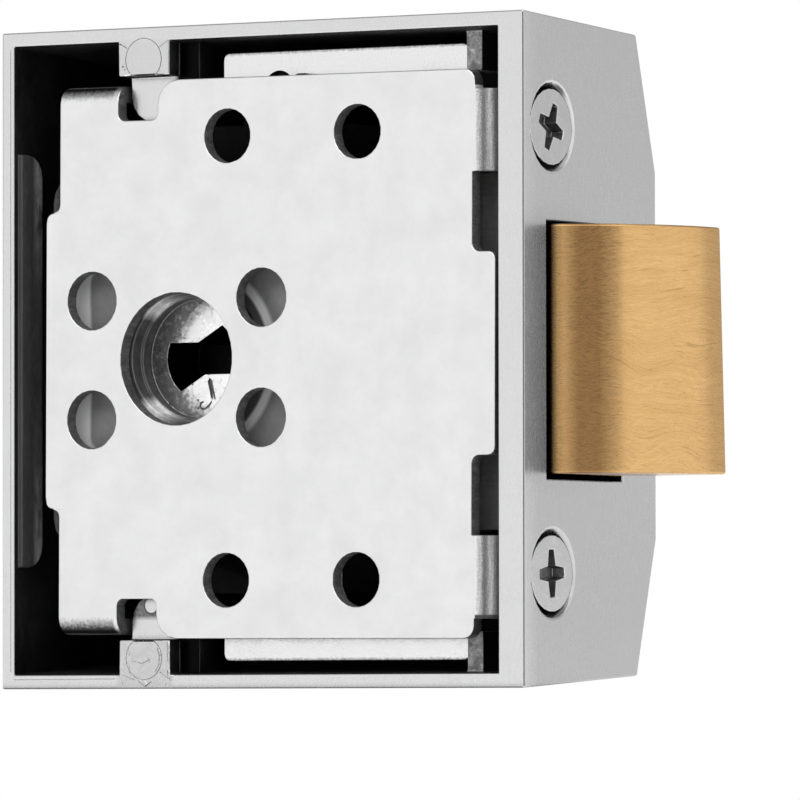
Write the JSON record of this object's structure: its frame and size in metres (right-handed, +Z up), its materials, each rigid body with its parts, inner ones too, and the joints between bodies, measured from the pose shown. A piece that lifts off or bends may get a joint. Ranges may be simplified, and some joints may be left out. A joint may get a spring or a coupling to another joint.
{
  "type": "night latch",
  "caption": "Rim night latch seen open from its door side: faceted case, hooked mounting plate, sprung brass latch bolt, turn knob and sliding snib.",
  "frame": {"origin": "on the door plane, on the flat outer face of the mounting plate at mid height, 20 mm behind the forend's face", "axes": "+X out of the forend along the latch bolt, +Y from the door into the room through the case to the knob, +Z up"},
  "size_m": [0.0719, 0.0424, 0.065],
  "materials": {
    "satin_chrome": "satin chrome plate",
    "zinc_steel": "bright zinc plate",
    "bright_steel": "bright nickel plate",
    "dark_steel": "dark oiled steel",
    "spring_steel": "drawn wire",
    "brushed_brass": "brushed",
    "bush_brass": "machined",
    "acetal": "moulded"
  },
  "bodies": {
    "lock_case": {"case": "satin_chrome", "mounting_plate": "zinc_steel", "forend_screw_upper": "bright_steel", "forend_screw_lower": "bright_steel", "cover_plate": "bright_steel", "cover_screw_upper_front": "bright_steel", "cover_screw_lower_front": "bright_steel", "cover_screw_upper_rear": "bright_steel", "cover_screw_lower_rear": "bright_steel", "knob_bush": "bush_brass", "knob_washer": "acetal", "guide_rod_upper": "bright_steel", "guide_rod_lower": "bright_steel", "bolt_spring_upper": "spring_steel", "bolt_spring_lower": "spring_steel", "hub_return_spring": "spring_steel", "snib_leaf_spring": "spring_steel", "leaf_rivet": "bright_steel"},
    "latch_bolt": {"bolt_head": "brushed_brass", "bolt_carriage": "dark_steel", "bolt_rivet_upper": "bright_steel", "bolt_rivet_lower": "bright_steel"},
    "turn_hub": {"follower": "bright_steel", "drive_cam": "dark_steel", "knob_spindle": "bright_steel", "spindle_clip": "spring_steel", "turn_knob": "satin_chrome", "knob_grub_screw": "spring_steel"},
    "snib": {"snib_slide": "dark_steel", "snib_button": "satin_chrome", "snib_rivet": "bright_steel"}
  },
  "joints": [
    {"name": "bolt_slide", "type": "slide", "parent": "lock_case", "child": "latch_bolt", "axis": [-1, 0, 0], "range_m": [0, 0.0115], "stiffness_N_per_m": 400, "springref_m": -0.01, "deforming": ["bolt_spring_upper", "bolt_spring_lower"]},
    {"name": "knob_turn", "type": "hinge", "parent": "lock_case", "child": "turn_hub", "pos_m": [-0.02, 0, 0], "axis": [0, -1, 0], "range_deg": [0, 60], "stiffness_Nm_per_rad": 0.01, "springref_deg": -34.38, "deforming": ["hub_return_spring"]},
    {"name": "snib_slide", "type": "slide", "parent": "lock_case", "child": "snib", "axis": [0, 0, -1], "range_m": [0, 0.0045], "deforming": ["snib_leaf_spring"]}
  ],
  "couplings": [
    {"joint": "knob_turn", "follows": "bolt_slide", "rad_per_m": 91.05}
  ]
}
